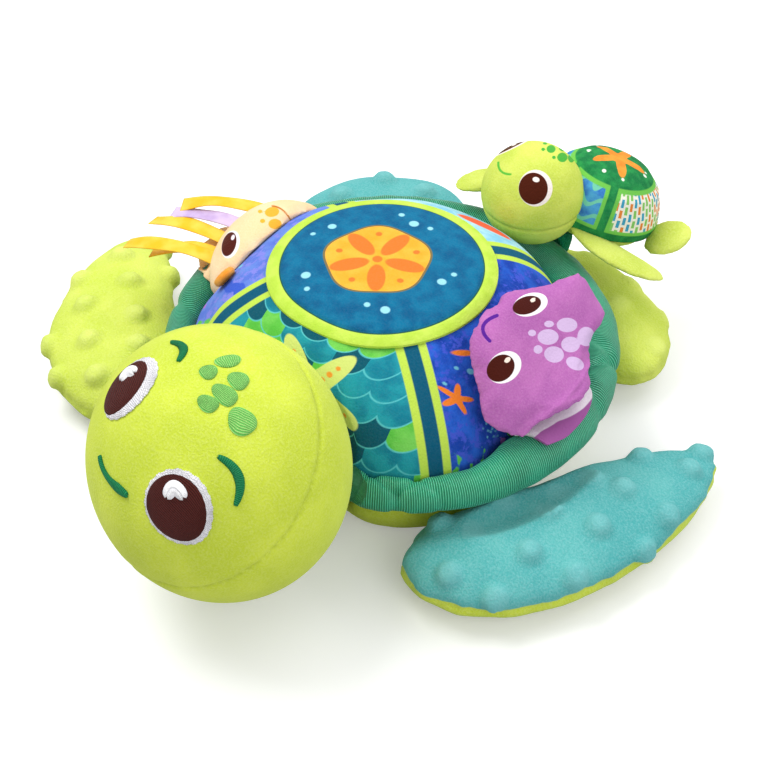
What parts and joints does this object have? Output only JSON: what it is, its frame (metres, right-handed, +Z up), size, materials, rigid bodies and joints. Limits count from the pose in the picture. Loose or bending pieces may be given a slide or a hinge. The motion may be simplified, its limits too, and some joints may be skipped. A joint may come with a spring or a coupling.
{
  "type": "plush sea turtle with baby",
  "caption": "Plush sea turtle with a printed padded shell, soft flippers, a ray flap, an octopus with ribbon arms and a baby turtle that pulls off.",
  "frame": {"origin": "middle of the belly's flat underside, on the surface that the toy rests on", "axes": "+Z up, the mother looks along -Y, her own left is +X"},
  "size_m": [0.3309, 0.3426, 0.1225],
  "materials": {
    "lime_plush": "short lime plush pile",
    "aqua_minky": "aqua dotted plush pile, raised dots",
    "rim_satin": "green satin, gathered over a soft roll",
    "shell_print": "printed short plush, stripes, scales and reef",
    "crown_print": "printed short plush, blue disc in a lime ring",
    "ray_plush": "purple plush, printed face and spots",
    "ray_underside": "off-white felted backing",
    "octopus_plush": "peach plush, printed spots",
    "rosette_satin": "orange satin, gathered",
    "yellow_satin": "yellow satin ribbon",
    "lilac_satin": "lilac satin ribbon",
    "baby_shell_print": "printed short plush, dark green and light green",
    "baby_plush": "short lime plush pile",
    "hook_and_loop": "dark green hook-and-loop tape"
  },
  "bodies": {
    "mother": {"belly": "lime_plush", "shell": "shell_print", "shell_crown": "crown_print", "rim_roll": "rim_satin", "ray_lining": "ray_underside", "octopus": "octopus_plush", "octopus_rosette": "rosette_satin", "octopus_ribbon_1": "yellow_satin", "octopus_ribbon_2": "yellow_satin", "octopus_ribbon_3": "yellow_satin", "octopus_ribbon_4": "lilac_satin", "octopus_ribbon_5": "yellow_satin", "baby_dock": "hook_and_loop"},
    "neck": {"neck": "lime_plush"},
    "head": {"head": "lime_plush"},
    "ray": {"ray_flap": "ray_plush"},
    "baby": {"baby_head": "baby_plush", "baby_shell": "baby_shell_print", "baby_belly": "baby_plush", "baby_front_flipper_left": "baby_plush", "baby_front_flipper_right": "baby_plush", "baby_rear_flipper_left": "baby_plush", "baby_rear_flipper_right": "baby_plush", "baby_hook_patch": "hook_and_loop"},
    "front_flipper_left": {"front_flipper_left": "aqua_minky"},
    "front_flipper_right": {"front_flipper_right": "lime_plush"},
    "rear_flipper_left": {"rear_flipper_left": "lime_plush"},
    "rear_flipper_right": {"rear_flipper_right": "aqua_minky"}
  },
  "joints": [
    {"name": "neck_turn", "type": "hinge", "parent": "mother", "child": "neck", "pos_m": [0, -0.08, 0.019], "axis": [0, 0, 1], "range_deg": [-12, 12], "stiffness_Nm_per_rad": 0.5},
    {"name": "head_nod", "type": "hinge", "parent": "neck", "child": "head", "pos_m": [0.0075, -0.122, 0.069], "axis": [0.8155, -0.4587, -0.3528], "range_deg": [-12, 15], "stiffness_Nm_per_rad": 0.3},
    {"name": "front_flipper_left_lift", "type": "hinge", "parent": "mother", "child": "front_flipper_left", "pos_m": [0.06683, -0.05412, 0.014], "axis": [-0.342, -0.9397, 0], "range_deg": [-1, 20], "stiffness_Nm_per_rad": 0.2},
    {"name": "front_flipper_right_lift", "type": "hinge", "parent": "mother", "child": "front_flipper_right", "pos_m": [-0.06683, -0.05412, 0.014], "axis": [-0.342, 0.9397, 0], "range_deg": [-1, 20], "stiffness_Nm_per_rad": 0.2},
    {"name": "rear_flipper_left_lift", "type": "hinge", "parent": "mother", "child": "rear_flipper_left", "pos_m": [0.04334, 0.07507, 0.014], "axis": [0.866, -0.5, 0], "range_deg": [-1, 15], "stiffness_Nm_per_rad": 0.2},
    {"name": "rear_flipper_right_lift", "type": "hinge", "parent": "mother", "child": "rear_flipper_right", "pos_m": [-0.05455, 0.06736, 0.014], "axis": [0.7771, 0.6293, 0], "range_deg": [-1, 25], "stiffness_Nm_per_rad": 0.2},
    {"name": "ray_flap_lift", "type": "hinge", "parent": "mother", "child": "ray", "pos_m": [0.05279, -0.00229, 0.09839], "axis": [0.0175, -0.9998, 0], "range_deg": [0, 120]},
    {"name": "baby_pull_off", "type": "slide", "parent": "mother", "child": "baby", "axis": [0.1812, 0.29, 0.9397], "range_m": [0, 0.08]}
  ]
}
